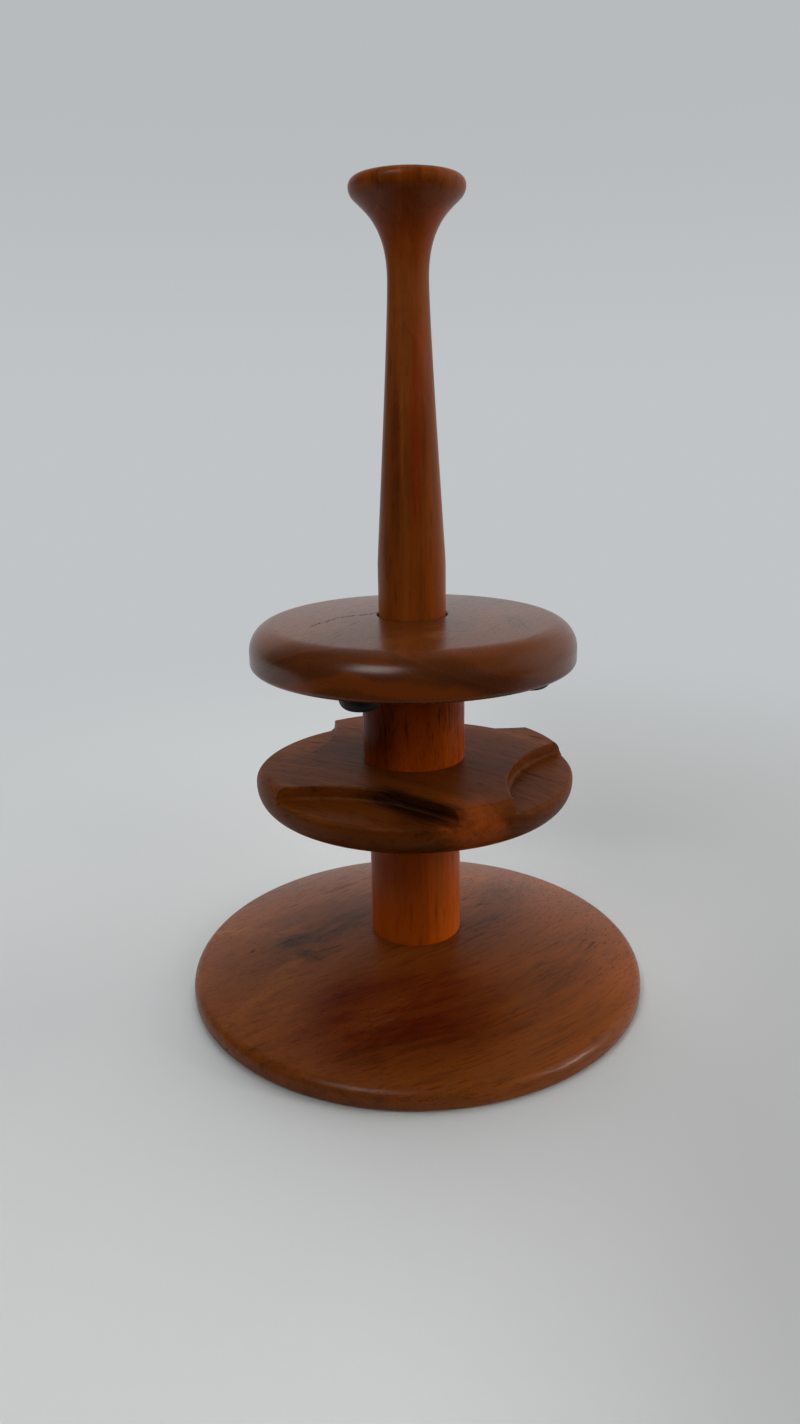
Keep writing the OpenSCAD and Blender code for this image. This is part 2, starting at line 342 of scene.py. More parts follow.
@dataclass(frozen=True)
class Mark:
    """Patch in the wood, darker or paler than the rest: the wood's own markings, or painted shade, painted
    light or painted sheen where a comment beside it says so. Lengths are in millimetres.

    Attributes:
        centre: Its middle, in the stand's frame.
        heading: Direction of its length in the XY plane, in degrees.
        size: Its half length, half width and half height.
        strength: How strong it is, from 0 to 1.
        streak: How much it breaks up into streaks along its length, from 0 to 1.
        curl: How much the streaks curl.
        colour: Its colour.
    """

    centre: Place
    heading: float
    size: Place
    strength: float
    streak: float
    curl: float = 0.0
    colour: str = OLD_OIL

    def laid(self, wires: Wiring, tone: Socket) -> Socket:
        """Lays the patch over a colour.

        Args:
            wires: The material's wiring.
            tone: Colour below it.

        Returns:
            The colour's socket.
        """
        core, ragged = 0.35, (0.9, 0.9, 0.9)
        local = wires.seen_from(metres(self.centre), self.heading, unit=metres(self.size))
        stray = wires.add("TexNoise", Vector=local, Scale=1.7, Detail=4.0, Roughness=0.6).outputs["Color"]
        stray = wires.vector("MULTIPLY", wires.vector("SUBTRACT", stray, (0.5, 0.5, 0.5)), ragged)
        reach = wires.vector("LENGTH", wires.vector("ADD", local, stray))
        inside = wires.span(reach, core, 1.0, 1.0, 0.0)
        drawn = wires.vector("MULTIPLY", local, (0.6, 4.0, 4.0))
        lines = wires.add("TexNoise", Vector=drawn, Scale=1.6, Detail=4.0, Roughness=0.65,
                          Distortion=self.curl).outputs["Fac"]
        lines = wires.span(lines, 0.40, 0.58, 1.0, 1.0 - self.streak)
        factor = wires.math("MULTIPLY", wires.times(inside, lines), self.strength, clamp=True)
        return wires.blend(factor, tone, srgb(self.colour))


@dataclass(frozen=True)
class Arch:
    """One broad growth ring that arches over a pith of its own. Lengths are in millimetres.

    Attributes:
        pith: A point of the line that it arches over.
        heading: Direction of that line in the XY plane, in degrees.
        radius: Radius of the ring.
        breadth: Half its breadth.
        strength: How strong it is, from 0 to 1.
        colour: Its colour.
    """

    pith: Place
    heading: float
    radius: float
    breadth: float
    strength: float
    colour: str

    def laid(self, wires: Wiring, tone: Socket) -> Socket:
        """Lays the ring over a colour.

        Args:
            wires: The material's wiring.
            tone: Colour below it.

        Returns:
            The colour's socket.
        """
        waver, breadth = 3.0 * MM, self.breadth * MM
        local = wires.seen_from(metres(self.pith), self.heading)
        wave = wires.span(ARCH_WANDER.value(wires, local), 0.2, 0.8, -waver, waver)
        across = wires.vector("MULTIPLY", local, (0.0, 1.0, 1.0))
        radius = wires.plus(wires.vector("LENGTH", across), wave)
        off = wires.math("ABSOLUTE", wires.math("SUBTRACT", radius, self.radius * MM))
        inside = wires.span(off, 0.5 * breadth, 1.1 * breadth, self.strength, 0.0)
        return wires.blend(inside, tone, srgb(self.colour))


@dataclass(frozen=True)
class Check:
    """Thin ragged check in the surface, as dark as a pore. Lengths are in millimetres.

    Attributes:
        centre: Its middle, in the stand's frame.
        heading: Its direction in the XY plane, in degrees.
        length: Half its length.
        breadth: Half its breadth.
        waver: How far it strays to each side.
    """

    centre: Place
    heading: float
    length: float
    breadth: float
    waver: float = 1.0

    def depth(self, wires: Wiring) -> Socket:
        """Depth of the check, from 0 to 1.

        Args:
            wires: The material's wiring.

        Returns:
            The depth's socket.
        """
        length, breadth, waver = metres((self.length, self.breadth, self.waver))
        local = wires.seen_from(metres(self.centre), self.heading)
        along, side, height = wires.add("SeparateXYZ", Vector=local).outputs
        run = wires.noise(along, 420.0, 4.0, 0.65, line=True)
        broken = wires.noise(along, 700.0, 2.0, 0.5, line=True)
        side = wires.math("ABSOLUTE", wires.plus(side, wires.span(run, 0.25, 0.75, -waver, waver)))
        inside = wires.times(wires.span(side, 0.3 * breadth, breadth, 1.0, 0.0),
                             wires.span(wires.math("ABSOLUTE", along), 0.8 * length, length, 1.0, 0.0))
        inside = wires.times(inside, wires.span(broken, 0.38, 0.5, 0.15, 1.0))
        shallow = wires.span(wires.math("ABSOLUTE", height), 2.0 * MM, 3.0 * MM, 1.0, 0.0)
        return wires.times(inside, shallow)


FigureAndPaintedLight = Union[Mark, Arch]


@dataclass(frozen=True)
class Finish:
    """Surface of a piece.

    Attributes:
        name: Name of the material.
    """

    name: str

    def material(self) -> bpy.types.Material:
        """Builds the finish's material.

        Returns:
            The material.
        """
        made = bpy.data.materials.new(self.name)
        wires = Wiring(made)
        wires.add("OutputMaterial", Surface=self.shader(wires).outputs[0])
        return made

    def shader(self, wires: Wiring) -> bpy.types.Node:
        """Wires the surface, and returns its shader."""
        raise NotImplementedError


@dataclass(frozen=True)
class Teak(Finish):
    """Oiled teak, as growth rings about a pith beside the piece. Lengths are in millimetres.

    Attributes:
        pale: Colour between the rings.
        warm: Most common colour.
        dark: Colour of the dark rings.
        grain: How the piece was cut.
        heading: Direction of the grain in the XY plane, or the turn of the board, in degrees.
        pith: Place of the pith, which sets where the rings' arches stand.
        ring_step: Width of a growth ring.
        ring_depth: Contrast of the rings, from 0 to 1.
        pore_depth: Darkness of the pores, from 0 to 1.
        wander: How far the rings stray from true circles.
        fineness: Strength of the fibres' fine texture in colour and gloss, from 0 to 1.
        roughness: Roughness of the oiled surface.
        specular: Strength of its gloss, where 0.5 is plain varnish.
        relief: Strength of the relief of fibres and pores.
        bend: Half the curvature of the grain in the board's plane, per metre.
        figure_and_painted_light: Patches and broad rings that stand out.
        checks: Checks in the surface.
    """

    pale: str
    warm: str
    dark: str
    grain: Grain
    heading: float
    pith: Place
    ring_step: float
    ring_depth: float
    pore_depth: float
    wander: float = 5.0
    fineness: float = 1.0
    roughness: float = 0.36
    specular: float = 0.12
    relief: float = 0.35
    bend: float = 0.0
    figure_and_painted_light: tuple[FigureAndPaintedLight, ...] = ()
    checks: tuple[Check, ...] = ()

    def shader(self, wires: Wiring) -> bpy.types.Node:
        """Wires the rings, the wood's markings with the painted shade, light and sheen among them, the pores
        and the gloss of the oil.

        Args:
            wires: The material's wiring.

        Returns:
            The shader's node.
        """
        groove_depth, fibre_rise, groove_rough = 0.06 * MM, 0.3, 0.45
        board = self._board(wires)
        fibre = FIBRES.value(wires, board)
        tone = self._shaded(wires, board, self._rings(wires, board, fibre))
        for one in self.figure_and_painted_light:
            tone = one.laid(wires, tone)
        grooves = wires.times(self._pores(wires, board), self.pore_depth)
        for check in self.checks:
            grooves = wires.math("MAXIMUM", grooves, check.depth(wires))
        tone = wires.blend(grooves, tone, srgb(OLD_OIL))
        rough = wires.span(fibre, 0.2, 0.8, self.roughness - 0.05 * self.fineness,
                           self.roughness + 0.06 * self.fineness)
        rough = wires.plus(rough, wires.times(grooves, groove_rough))
        height = wires.math("SUBTRACT", wires.times(fibre, fibre_rise), grooves)
        bump = wires.add("Bump", Strength=self.relief, Distance=groove_depth, Height=height).outputs[0]
        return wires.add("BsdfPrincipled", Base_Color=tone, Roughness=rough, Normal=bump, IOR=1.5,
                         Specular_IOR_Level=self.specular)

    def _board(self, wires: Wiring) -> Socket:
        """Coordinates along, across and through the board, from the pith, with the grain's bend.

        Args:
            wires: The material's wiring.

        Returns:
            The coordinates' socket.
        """
        straight = wires.seen_from(metres(self.pith), self.heading, self.grain.value)
        along, across, through = wires.add("SeparateXYZ", Vector=straight).outputs
        sweep = wires.times(wires.times(along, along), self.bend)
        across = wires.math("SUBTRACT", across, sweep)
        return wires.add("CombineXYZ", X=along, Y=across, Z=through).outputs[0]

    def _rings(self, wires: Wiring, board: Socket, fibre: Socket) -> Socket:
        """Colour of the growth rings.

        Args:
            wires: The material's wiring.
            board: Coordinates along, across and through the board.
            fibre: Noise of the fibres.

        Returns:
            The colour's socket.
        """
        broad_share, fine_share, fibre_share = 0.62, 0.28, 0.10
        stray = wires.vector("SUBTRACT", RING_WANDER.node(wires, board).outputs["Color"], (0.5, 0.5, 0.5))
        strayed = wires.vector("MULTIPLY_ADD", stray, (2.0 * self.wander * MM,) * 3, board)
        radius = wires.vector("LENGTH", wires.vector("MULTIPLY", strayed, (0.0, 1.0, 1.0)))
        count = wires.math("DIVIDE", radius, self.ring_step * MM)
        broad = wires.noise(count, 0.55, 2.0, 0.5, line=True)
        fine = wires.noise(count, 3.4, 3.0, 0.6, line=True)
        band = wires.plus(wires.times(broad, broad_share), wires.times(fine, fine_share))
        band = wires.plus(band, 0.5 * fibre_share * (1.0 - self.fineness))
        band = wires.plus(band, wires.times(fibre, fibre_share * self.fineness))
        soft = 0.10 + 0.12 * (1.0 - self.ring_depth)
        dark, warm, pale = srgb(self.dark), srgb(self.warm), srgb(self.pale)
        return wires.ramp(band, [(0.5 - 1.6 * soft, dark), (0.5 - 0.3 * soft, warm),
                                 (0.5 + 0.5 * soft, warm), (0.5 + 1.7 * soft, pale)])

    def _shaded(self, wires: Wiring, board: Socket, tone: Socket) -> Socket:
        """Lays the slow change of tone over the board and the fine streaks of its fibres on a colour.

        Args:
            wires: The material's wiring.
            board: Coordinates along, across and through the board.
            tone: The colour.

        Returns:
            The colour's socket.
        """
        slow = wires.span(SLOW_TONE.value(wires, board), 0.3, 0.7, 0.84, 1.12)
        streaks = wires.span(STREAKS.value(wires, board), 0.28, 0.72, 1.0 - 0.14 * self.fineness,
                             1.0 + 0.10 * self.fineness)
        dashes = wires.span(DASHES.value(wires, board), 0.58, 0.70, 1.0, 1.0 - 0.28 * self.fineness)
        level = wires.times(wires.times(slow, streaks), dashes)
        shade = wires.add("CombineXYZ", X=level, Y=level, Z=level).outputs[0]
        return wires.vector("MULTIPLY", tone, shade)

    def _pores(self, wires: Wiring, board: Socket) -> Socket:
        """Depth of the open pores, from 0 to 1: short dark dashes along the grain, in patches.

        Args:
            wires: The material's wiring.
            board: Coordinates along, across and through the board.

        Returns:
            The depth's socket.
        """
        small = wires.span(SMALL_PORES.value(wires, board), 0.60, 0.70, 0.0, 0.7)
        large = wires.times(wires.span(LARGE_PORES.value(wires, board), 0.64, 0.72),
                            wires.span(PORE_PATCHES.value(wires, board), 0.46, 0.62))
        return wires.math("MAXIMUM", small, large, clamp=True)


@dataclass(frozen=True)
class Rubber(Finish):
    """Matt black rubber with a faint bloom.

    Attributes:
        colour: Its colour.
        bloom: Colour of the bloom.
    """

    name: str = "black_rubber"
    colour: str = "17171a"
    bloom: str = "2c2c2f"

    def shader(self, wires: Wiring) -> bpy.types.Node:
        """Wires the bloom and the fine skin.

        Args:
            wires: The material's wiring.

        Returns:
            The shader's node.
        """
        bloom = wires.noise(wires.place, 240.0, 4.0, 0.6)
        skin = wires.noise(wires.place, 3800.0)
        tone = wires.blend(wires.span(bloom, 0.4, 0.75, 0.0, 0.5), srgb(self.colour), srgb(self.bloom))
        rough = wires.span(bloom, 0.3, 0.7, 0.5, 0.66)
        bump = wires.add("Bump", Strength=0.25, Distance=0.04 * MM, Height=skin).outputs[0]
        return wires.add("BsdfPrincipled", Base_Color=tone, Roughness=rough, Normal=bump)


@dataclass(frozen=True)
class Felt(Finish):
    """Pressed wool felt.

    Attributes:
        colour: Colour of the wool.
        deep: Its colour between the tufts.
        hair: Colour of the loose hairs.
    """

    name: str = "wool_felt"
    colour: str = "35402f"
    deep: str = "2a3325"
    hair: str = "56624c"

    def shader(self, wires: Wiring) -> bpy.types.Node:
        """Wires the tufts and the hairs.

        Args:
            wires: The material's wiring.

        Returns:
            The shader's node.
        """
        tufts = wires.noise(wires.place, 900.0, 5.0, 0.7)
        hairs = wires.noise(wires.vector("MULTIPLY", wires.place, (1.0, 0.2, 1.0)), 2600.0, 3.0, 0.6)
        tone = wires.blend(wires.span(tufts, 0.3, 0.7), srgb(self.deep), srgb(self.colour))
        tone = wires.blend(wires.span(hairs, 0.55, 0.75, 0.0, 0.35), tone, srgb(self.hair))
        bump = wires.add("Bump", Strength=0.6, Distance=0.2 * MM, Height=wires.plus(tufts, hairs)).outputs[0]
        return wires.add("BsdfPrincipled", Base_Color=tone, Roughness=0.95, Normal=bump, Sheen_Weight=0.3)


@dataclass(frozen=True)
class Metal(Finish):
    """Turned or plated metal with fine rings of tool marks.

    Attributes:
        bright: Colour where it is clean.
        dull: Colour where it is tarnished.
        roughness: Its roughness.
    """

    bright: str
    dull: str
    roughness: float

    def shader(self, wires: Wiring) -> bpy.types.Node:
        """Wires the tarnish and the tool marks.

        Args:
            wires: The material's wiring.

        Returns:
            The shader's node.
        """
        stain = wires.noise(wires.place, 160.0, 4.0, 0.6)
        marks = wires.noise(wires.vector("MULTIPLY", wires.place, (0.2, 0.2, 1.0)), 6000.0)
        tone = wires.blend(wires.span(stain, 0.35, 0.7), srgb(self.bright), srgb(self.dull))
        rough = wires.span(stain, 0.3, 0.7, self.roughness, self.roughness + 0.15)
        bump = wires.add("Bump", Strength=0.15, Distance=0.03 * MM, Height=marks).outputs[0]
        return wires.add("BsdfPrincipled", Base_Color=tone, Roughness=rough, Metallic=1.0, Normal=bump)


# ---- turning ----


@dataclass
class Outline:
    """Half section of a turned piece: distances from the axis and heights.

    Attributes:
        points: The points so far.
    """

    points: list[Point] = field(default_factory=list)

    def to(self, *points: Point) -> "Outline":
        """Adds straight stretches to the points."""
        self.points.extend(points)
        return self

    def arc(self, centre: Point, reach: Point, start: float, end: float, steps: int = 12) -> "Outline":
        """Adds part of an upright oval.

        Args:
            centre: Its centre.
            reach: Its half width and half height.
            start: Angle where the stretch starts, in degrees from straight out.
            end: Angle where it ends.
            steps: Number of straight steps.

        Returns:
            The outline itself.
        """
        for i in range(steps + 1):
            angle = math.radians(start + (end - start) * i / steps)
            self.points.append((centre[0] + reach[0] * math.cos(angle),
                                centre[1] + reach[1] * math.sin(angle)))
        return self

    def bezier(self, a: Point, b: Point, c: Point, d: Point, steps: int) -> "Outline":
        """Adds a cubic curve.

        Args:
            a: Its start.
            b: Point that it leaves towards.
            c: Point that it comes in from.
            d: Its end.
            steps: Number of straight steps.

        Returns:
            The outline itself.
        """
        for i in range(steps + 1):
            t = i / steps
            s = 1.0 - t
            weights = (s ** 3, 3 * s * s * t, 3 * s * t * t, t ** 3)
            pulls = tuple(zip(weights, (a, b, c, d)))
            self.points.append((sum(w * p[0] for w, p in pulls), sum(w * p[1] for w, p in pulls)))
        return self

    def spun(self, name: str, closed: bool = False, steps: int = LATHE_STEPS) -> bpy.types.Object:
        """Turns the outline about the Z axis.

        Args:
            name: Name of the new piece.
            closed: Whether the last point joins the first, as in a ring.
            steps: Number of steps in the full turn.

        Returns:
            The new piece, at the origin.
        """
        mesh = bmesh.new()
        verts = [mesh.verts.new((r, 0.0, z)) for r, z in self.points]
        edges = [mesh.edges.new(pair) for pair in zip(verts, verts[1:]) if pair[0].co != pair[1].co]
        if closed:
            edges.append(mesh.edges.new((verts[-1], verts[0])))
        bmesh.ops.spin(mesh, geom=verts + edges, axis=(0.0, 0.0, 1.0), cent=(0.0, 0.0, 0.0),
                       angle=TURN, steps=steps, use_merge=True)
        bmesh.ops.remove_doubles(mesh, verts=mesh.verts, dist=SAME_POINT)
        return finished(mesh, name)


def finished(mesh: bmesh.types.BMesh, name: str) -> bpy.types.Object:
    """Makes an object of a bmesh, with outward faces, smooth but for its sharp edges.

    Args:
        mesh: The bmesh, which is freed.
        name: Name of the object.

    Returns:
        The object, linked to the scene.
    """
    bmesh.ops.recalc_face_normals(mesh, faces=mesh.faces)
    soften(mesh)
    data = bpy.data.meshes.new(name)
    mesh.to_mesh(data)
    mesh.free()
    made = bpy.data.objects.new(name, data)
    bpy.context.scene.collection.objects.link(made)
    return made


def soften(mesh: bmesh.types.BMesh) -> None:
    """Shades the faces smooth, and keeps the edges sharp whose faces meet at a steep angle.

    Args:
        mesh: The mesh.
    """
    for face in mesh.faces:
        face.smooth = True
    for edge in mesh.edges:
        edge.smooth = len(edge.link_faces) == 2 and edge.calc_face_angle(0.0) < SHARP_ANGLE


def dress(piece: bpy.types.Object, finish: bpy.types.Material, slot: str, body: str, *nodes: str) -> None:
    """Gives a new piece its finish and its place in the frame.

    Args:
        piece: The piece.
        finish: Its material.
        slot: Material slot that it stands for; not used.
        body: Body that it moves with.
        *nodes: Nodes that it replaces.
    """
    piece.data.materials.append(finish)
    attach(piece, body)
    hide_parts(*nodes)
    LOG.info("%s: %d faces, rides on %s", piece.name, len(piece.data.polygons), body)


def carved(block: bpy.types.Object, tool: bpy.types.Object,
           operation: str = "DIFFERENCE") -> bpy.types.Object:
    """Cuts one piece with another, and removes the tool.

    Args:
        block: The piece that is cut.
        tool: The piece that cuts it.
        operation: The Boolean modifier's operation.

    Returns:
        The cut piece.
    """
    cut = block.modifiers.new("cut", "BOOLEAN")
    cut.object = tool
    cut.operation = operation
    cut.solver = "EXACT"
    depsgraph = bpy.context.evaluated_depsgraph_get()
    data = bpy.data.meshes.new_from_object(block.evaluated_get(depsgraph))
    block.modifiers.remove(cut)
    block.data = data
    bpy.data.objects.remove(tool)
    return block


def turned_copies(piece: bpy.types.Object, count: int, name: str) -> bpy.types.Object:
    """Copies of a piece, evenly spaced round the Z axis, in one object.

    Args:
        piece: The first of them, which is removed.
        count: How many there are.
        name: Name of the object.

    Returns:
        The object.
    """
    mesh = bmesh.new()
    for i in range(count):
        data = piece.data.copy()
        data.transform(Matrix.Rotation(TURN * i / count, 4, "Z"))
        mesh.from_mesh(data)
        bpy.data.meshes.remove(data)
    bpy.data.objects.remove(piece)
    return finished(mesh, name)


# ---- the stand ----


@dataclass(frozen=True)
class CrownedDisc:
    """Turned disc: rounded below, widest at a line, rounded above and crowned by a shallow dome.

    Attributes:
        edge_rise: Height of the widest line above the underside.
        low_round: Radius of the lower rounding.
        top_round: Radius of the upper rounding.
        dome_radius: Radius of curvature of the crown.
    """

    edge_rise: float
    low_round: float
    top_round: float
    dome_radius: float

    def crown(self, radius: float, at: float) -> float:
        """Height of the crown above the underside.

        Args:
            radius: Radius of the disc.
            at: Distance from the axis.

        Returns:
            The height.
        """
        return self.dome_centre(radius) + math.sqrt(self.dome_radius ** 2 - at ** 2)

    def dome_centre(self, radius: float) -> float:
        """Height of the dome's centre of curvature for a disc of the radius."""
        rim = radius - self.top_round
        return self.edge_rise - math.sqrt((self.dome_radius - self.top_round) ** 2 - rim ** 2)

    def edge(self, outline: Outline, radius: float, foot: float, hole: float) -> Outline:
        """Adds the rim and the crown, from the underside to a round hole in the middle.

        Args:
            outline: Outline that ends on the underside.
            radius: Radius of the disc.
            foot: Height of the underside.
            hole: Radius at which the crown stops.

        Returns:
            The outline.
        """
        low, top = self.low_round, self.top_round
        centre = self.dome_centre(radius)
        blend = math.degrees(math.atan2(self.edge_rise - centre, radius - top))
        stop = math.degrees(math.acos(hole / self.dome_radius))
        outline.arc((radius - low, foot + low), (low, low), -90.0, 0.0, 10)
        outline.arc((radius - top, foot + self.edge_rise), (top, top), 0.0, blend, 24)
        return outline.arc((0.0, foot + centre), (self.dome_radius,) * 2, blend, stop, 40)


def post(name: str, radius: float, foot: float, top: float, bore: float = 0.0) -> bpy.types.Object:
    """Round post with its top edge softened.

    Args:
        name: Name of the new piece.
        radius: Its radius.
        foot: Height of its foot.
        top: Height of its top.
        bore: Radius of the hole in its top.

    Returns:
        The new piece.
    """
    edge = 0.3 * MM
    outline = Outline([(0.0, foot), (radius, foot), (radius, top - edge)])
    outline.arc((radius - edge, top - edge), (edge, edge), 0.0, 90.0, 4)
    return outline.to((bore, top)).spun(name)


@dataclass
class Foot:
    """The standing wooden parts: the domed base and the column.

    Attributes:
        form: Section of the base.
        pocket_room: Room round the retaining washer in its pocket.
    """

    form: CrownedDisc = CrownedDisc(edge_rise=2.7 * MM, low_round=1.4 * MM, top_round=4.0 * MM,
                                    dome_radius=250.0 * MM)
    pocket_room: float = 3.0 * MM

    def build(self) -> None:
        """Turns and dresses the base and the column."""
        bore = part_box("spindle_sleeve")[1].x
        low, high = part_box("base")
        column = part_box("column")[1]
        seat_z = low.z + self.form.crown(high.x, column.x)
        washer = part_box("retaining_washer")[1]
        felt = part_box("base_felt")[1]
        pocket_r = washer.x + self.pocket_room
        outline = Outline([(bore, washer.z), (pocket_r, washer.z), (pocket_r, felt.z)])
        outline.to((felt.x, felt.z), (felt.x, low.z))
        self.form.edge(outline, high.x, low.z, column.x)
        outline.to((0.0, seat_z))
        dress(outline.spun("base_wood"), BASE_TEAK.material(), "teak_base", "base", "base")
        dress(post("column_wood", column.x, seat_z, column.z, bore), COLUMN_TEAK.material(),
              "teak_column", "base", "column")


@dataclass(frozen=True)
class StemForm:
    """Section of the stem: straight, tapered to the neck, flared at a slope into the knob's lip.

    Attributes:
        straight_r: Radius of the straight stretch.
        straight: Height of that stretch.
        neck_r: Radius of the neck.
        neck: Height of the neck above the stem's foot.
        slope: Slope of the flare where it meets the lip, in degrees.
        low_round: Rounding of the lip's lower side.
        top_round: Rounding of its upper side.
        crown: Height of the knob's dome.
    """

    straight_r: float = 10.4 * MM
    straight: float = 30.5 * MM
    neck_r: float = 5.95 * MM
    neck: float = 110.7 * MM
    slope: float = 45.0
    low_round: float = 3.9 * MM
    top_round: float = 2.5 * MM
    crown: float = 0.6 * MM

    def outline(self, foot: float, top: float, lip_r: float) -> Outline:
        """Outline of the stem.

        Args:
            foot: Height of its foot.
            top: Height of its top.
            lip_r: Radius of the knob's lip.

        Returns:
            The outline.
        """
        out, up = math.sin(math.radians(self.slope)), math.cos(math.radians(self.slope))
        straight_z, neck_z = foot + self.straight, foot + self.neck
        taper = self.neck - self.straight
        lip_z = top - self.crown - self.top_round
        flare = (lip_r - self.low_round * (1.0 - up), lip_z - self.low_round * out)
        rise = flare[1] - neck_z
        pull = 0.2 * rise
        dome_rim = lip_r - self.top_round
        dome_r = (dome_rim ** 2 + self.crown ** 2) / (2.0 * self.crown)
        turn = math.degrees(math.acos(dome_rim / dome_r))
        outline = Outline([(0.0, foot), (self.straight_r, foot)])
        outline.bezier((self.straight_r, straight_z), (self.straight_r, straight_z + 0.02 * taper),
                       (self.neck_r, neck_z - 0.16 * taper), (self.neck_r, neck_z), 60)
        outline.bezier((self.neck_r, neck_z), (self.neck_r, neck_z + 0.67 * rise),
                       (flare[0] - pull * out, flare[1] - pull * up), flare, 40)
        outline.arc((lip_r - self.low_round, lip_z), (self.low_round,) * 2, -self.slope, 0.0)
        outline.arc((dome_rim, lip_z), (self.top_round,) * 2, 0.0, turn)
        return outline.arc((0.0, top - dome_r), (dome_r,) * 2, turn, 90.0, 16)


@dataclass
class Carousel:
    """The revolving wooden parts: ledge disc, spacer and stem.

    Attributes:
        stem: Section of the stem.
        edge_rise: Height of the ledge disc's widest line above its underside.
        low_in: How far its rim rounds in below that line.
        top_in: How far it rounds in above.
        nut_room: Room round the nut in its pocket.
        seat_r: Radius of the dish that a seat takes.
        seat_width: Width of a seat, from the dish's near edge to the disc's rim.
        seat_depth: Depth of a seat.
        cove: Rounding at the foot of a seat's wall.
        lip: Rounding at its top.
        floor_edge: Rounding where a seat's floor meets the rim.
        seats: Number of seats.
    """

    stem: StemForm = StemForm()
    edge_rise: float = 7.4 * MM
    low_in: float = 6.2 * MM
    top_in: float = 3.2 * MM
    nut_room: float = 0.7 * MM
    seat_r: float = 52.0 * MM
    seat_width: float = 17.9 * MM
    seat_depth: float = 4.2 * MM
    cove: float = 1.2 * MM
    lip: float = 0.5 * MM
    floor_edge: float = 1.2 * MM
    seats: int = 4

    def build(self) -> None:
        """Turns, carves and dresses the three pieces."""
        ledge_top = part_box("ledge_disc")[1].z
        spacer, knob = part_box("spacer")[1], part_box("stem")[1]
        dress(self._ledge(), LEDGE_TEAK.material(), "teak_ledge", "carousel", "ledge_disc")
        dress(post("spacer_wood", spacer.x, ledge_top, spacer.z), SPACER_TEAK.material(),
              "teak_spacer", "carousel", "spacer")
        dress(self.stem.outline(spacer.z, knob.z, knob.x).spun("stem_wood"), STEM_TEAK.material(),
              "teak_stem", "carousel", "stem")

    def _ledge(self) -> bpy.types.Object:
        """Ledge disc with its seats.

        Returns:
            The disc.
        """
        low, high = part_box("ledge_disc")
        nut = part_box("carousel_nut")[1]
        pocket_r = nut.x + self.nut_room
        widest = low.z + self.edge_rise
        outline = Outline([(0.0, nut.z), (pocket_r, nut.z), (pocket_r, low.z)])
        outline.arc((high.x - self.low_in, widest), (self.low_in, self.edge_rise), -90.0, 0.0, 24)
        outline.arc((high.x - self.top_in, widest), (self.top_in, high.z - low.z - self.edge_rise),
                    0.0, 90.0, 24)
        disc = outline.to((0.0, high.z)).spun("ledge_disc_wood")
        seat_z = high.z - self.seat_depth
        carved(disc, turned_copies(self._dish_tool(seat_z, high.z), self.seats, "dish_tools"))
        carved(disc, self._floor_edge_tool(low.z, high, seat_z))
        self._heal(disc)
        disc.modifiers.new("even_shading", "WEIGHTED_NORMAL").keep_sharp = True
        return disc

    def _heal(self, disc: bpy.types.Object) -> None:
        """Closes the hairline gaps and slivers that carving leaves, and shades the disc again.

        Args:
            disc: The carved disc.
        """
        gap, sliver = 0.002 * MM, 0.001 * MM
        mesh = bmesh.new()
        mesh.from_mesh(disc.data)
        bmesh.ops.remove_doubles(mesh, verts=mesh.verts, dist=gap)
        bmesh.ops.dissolve_degenerate(mesh, dist=sliver, edges=mesh.edges)
        soften(mesh)
        mesh.to_mesh(disc.data)
        mesh.free()

    def _to_dish(self) -> Matrix:
        """Shift from the turning axis to the middle of the first dish."""
        return Matrix.Translation((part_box("ledge_disc")[1].x - self.seat_width + self.seat_r, 0.0, 0.0))

    def _dish_tool(self, seat_z: float, top_z: float) -> bpy.types.Object:
        """Space of the dish on the first seat, with a cove below and a rounded top edge.

        Args:
            seat_z: Height of the seats' floors.
            top_z: Height of the disc's top.

        Returns:
            The tool.
        """
        wide_r, over = self.seat_r + self.lip, top_z + OVERCUT
        outline = Outline([(0.0, seat_z)])
        outline.arc((self.seat_r - self.cove, seat_z + self.cove), (self.cove,) * 2, -90.0, 0.0, 8)
        outline.arc((wide_r, top_z - self.lip), (self.lip,) * 2, 180.0, 90.0, 6)
        tool = outline.to((wide_r, over), (0.0, over)).spun("dish_tool", steps=2 * LATHE_STEPS)
        tool.data.transform(self._to_dish())
        return tool

    def _floor_edge_tool(self, foot: float, high: Vector, seat_z: float) -> bpy.types.Object:
        """Tool that rounds the outer edge of the seats' floors.

        Args:
            foot: Height of the disc's underside.
            high: Highest corner of the disc's box.
            seat_z: Height of the seats' floors.

        Returns:
            The tool.
        """
        above, half = 0.5 * MM, 3.0 * MM
        edge_z = seat_z - self.floor_edge
        share = (edge_z - foot - self.edge_rise) / (high.z - foot - self.edge_rise)
        rim = high.x - self.top_in * (1.0 - math.sqrt(1.0 - share ** 2)) - self.floor_edge
        out = high.x + OVERCUT
        ring = Outline([(out, edge_z), (out, seat_z + above), (rim, seat_z + above)])
        ring.arc((rim, edge_z), (self.floor_edge,) * 2, 90.0, 0.0, 8)
        flat_r = self.seat_r - self.cove
        dish = Outline([(0.0, seat_z - half), (flat_r, seat_z - half), (flat_r, seat_z + half),
                        (0.0, seat_z + half)])
        plug = dish.spun("dish_plug")
        plug.data.transform(self._to_dish())
        plugs = turned_copies(plug, self.seats, "dish_plugs")
        return carved(ring.spun("edge_ring", closed=True), plugs, "INTERSECT")


